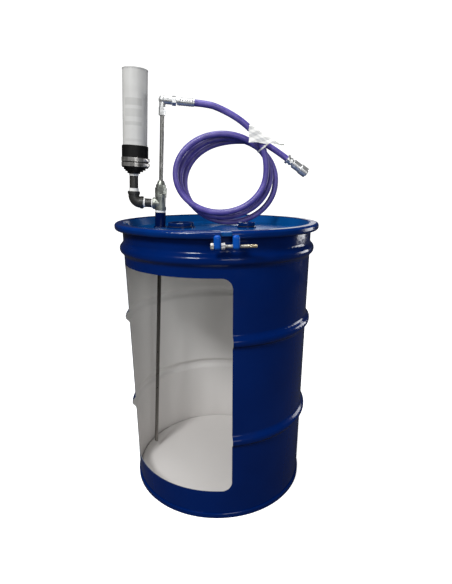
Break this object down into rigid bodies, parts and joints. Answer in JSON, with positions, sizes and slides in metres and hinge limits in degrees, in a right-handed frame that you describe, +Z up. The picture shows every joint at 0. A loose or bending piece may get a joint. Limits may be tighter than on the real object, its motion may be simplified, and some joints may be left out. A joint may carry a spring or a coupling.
{
  "type": "drum transfer adapter on a cut-away drum",
  "caption": "Cut-away open-head steel drum with a dip tube, a desiccant breather and a coiled hose with a quick coupler on its cover",
  "frame": {"origin": "on the drum's axis, at the floor it stands on", "axes": "+Z up the drum's axis, -Y towards the cut-away front and the ring's bolt, +X to the right"},
  "size_m": [0.618, 0.636, 1.3013],
  "materials": {
    "drum_paint": "deep gloss blue enamel outside, pale warm grey lining inside",
    "gasket": "black sponge gasket",
    "lug_paint": "blue enamel",
    "zinc": "zinc plated",
    "plug_paint": "dark blue enamel",
    "neck_paint": "navy blue enamel",
    "galvanised": "galvanised malleable iron",
    "black_pipe": "black pipe fitting",
    "tape": "white thread seal tape",
    "boot_rubber": "black moulded rubber",
    "clamp_steel": "stainless band",
    "canister": "pale grey plastic with a faint printed block",
    "desiccant": "silica beads",
    "pad": "white filter felt",
    "inner_plastic": "moulded plastic disc",
    "packing": "PTFE packing",
    "stainless": "drawn stainless tube",
    "plated": "bright plated steel",
    "hose": "purple ribbed rubber cover",
    "tie": "natural nylon",
    "paper": "blank white paper",
    "brass": "turned brass"
  },
  "bodies": {
    "drum": {"drum_shell": "drum_paint", "bottom_head": "drum_paint", "cover": "drum_paint", "cover_gasket": "gasket", "closing_ring": "drum_paint", "ring_lugs": "lug_paint", "large_bung_flange": "drum_paint", "large_bung_gasket": "gasket", "small_bung_flange": "drum_paint", "small_bung_gasket": "gasket", "neck_weld": "neck_paint", "drum_neck": "neck_paint", "neck_pipe": "galvanised", "run_tee": "galvanised", "gland_body": "galvanised", "gland_packing": "packing", "branch_pipe": "black_pipe", "breather_elbow": "black_pipe", "riser_pipe": "black_pipe", "thread_tape": "tape", "rubber_boot": "boot_rubber", "lower_clamp_band": "clamp_steel", "upper_clamp_band": "clamp_steel", "breather_canister": "canister", "breather_cap": "canister", "lower_disc": "inner_plastic", "lower_pad": "pad", "desiccant": "desiccant", "upper_pad": "pad", "upper_disc": "inner_plastic"},
    "ring_bolt": {"ring_bolt": "zinc"},
    "jam_nut": {"jam_nut": "zinc"},
    "large_plug": {"large_bung_plug": "plug_paint"},
    "small_plug": {"small_bung_plug": "plug_paint"},
    "gland_nut": {"gland_nut": "galvanised"},
    "dip_tube": {"dip_tube": "stainless"},
    "tube_nut": {"tube_nut": "plated"},
    "hose_line": {"outlet_elbow": "plated", "inlet_ferrule": "plated", "hose_lead": "hose", "hose_coil": "hose", "hose_tail": "hose", "hose_tie": "tie", "paper_tag": "paper", "outlet_ferrule": "plated", "coupler_body": "plated", "coupler_balls": "plated", "snap_ring": "plated"},
    "arm_nut": {"arm_nut": "plated"},
    "coupler_sleeve": {"coupler_sleeve": "plated"},
    "coupler_poppet": {"coupler_poppet": "brass"},
    "lower_clamp_screw": {"lower_clamp_screw": "zinc"},
    "upper_clamp_screw": {"upper_clamp_screw": "zinc"}
  },
  "joints": [
    {"name": "ring_bolt_turn", "type": "hinge", "parent": "drum", "child": "ring_bolt", "pos_m": [0.02322, -0.31615, 0.8435], "axis": [0.9973, 0.0732, 0], "continuous": true},
    {"name": "jam_nut_turn", "type": "hinge", "parent": "ring_bolt", "child": "jam_nut", "pos_m": [0.02322, -0.31615, 0.8435], "axis": [0.9973, 0.0732, 0], "continuous": true},
    {"name": "large_plug_turn", "type": "hinge", "parent": "drum", "child": "large_plug", "pos_m": [-0.115, 0.036, 0.8535], "axis": [0, 0, 1], "continuous": true},
    {"name": "small_plug_turn", "type": "hinge", "parent": "drum", "child": "small_plug", "pos_m": [0.094, 0.036, 0.8535], "axis": [0, 0, 1], "continuous": true},
    {"name": "gland_nut_turn", "type": "hinge", "parent": "drum", "child": "gland_nut", "pos_m": [-0.17477, 0.05, 0.97422], "axis": [0.068, 0, 0.9977], "continuous": true},
    {"name": "tube_slide", "type": "slide", "parent": "drum", "child": "dip_tube", "axis": [0.068, 0, 0.9977], "range_m": [0, 0.12]},
    {"name": "tube_nut_turn", "type": "hinge", "parent": "dip_tube", "child": "tube_nut", "pos_m": [-0.15797, 0.05, 1.22065], "axis": [0.068, 0, 0.9977], "continuous": true},
    {"name": "hose_swing", "type": "hinge", "parent": "dip_tube", "child": "hose_line", "pos_m": [-0.15797, 0.05, 1.22065], "axis": [0.068, 0, 0.9977], "range_deg": [-6, 12]},
    {"name": "arm_nut_turn", "type": "hinge", "parent": "hose_line", "child": "arm_nut", "pos_m": [-0.13019, 0.05293, 1.21875], "axis": [0.9922, 0.1045, -0.0676], "continuous": true},
    {"name": "coupler_sleeve_slide", "type": "slide", "parent": "hose_line", "child": "coupler_sleeve", "axis": [-0.8303, -0.0203, 0.5569], "range_m": [0, 0.006], "stiffness_N_per_m": 1500, "springref_m": -0.005},
    {"name": "coupler_poppet_slide", "type": "slide", "parent": "hose_line", "child": "coupler_poppet", "axis": [-0.8303, -0.0203, 0.5569], "range_m": [0, 0.004], "stiffness_N_per_m": 800, "springref_m": -0.005},
    {"name": "lower_clamp_screw_turn", "type": "hinge", "parent": "drum", "child": "lower_clamp_screw", "pos_m": [-0.21105, 0.02725, 1.03884], "axis": [-0.4988, -0.866, 0.034], "continuous": true},
    {"name": "upper_clamp_screw_turn", "type": "hinge", "parent": "drum", "child": "upper_clamp_screw", "pos_m": [-0.2101, 0.02725, 1.0528], "axis": [-0.4988, -0.866, 0.034], "continuous": true}
  ]
}
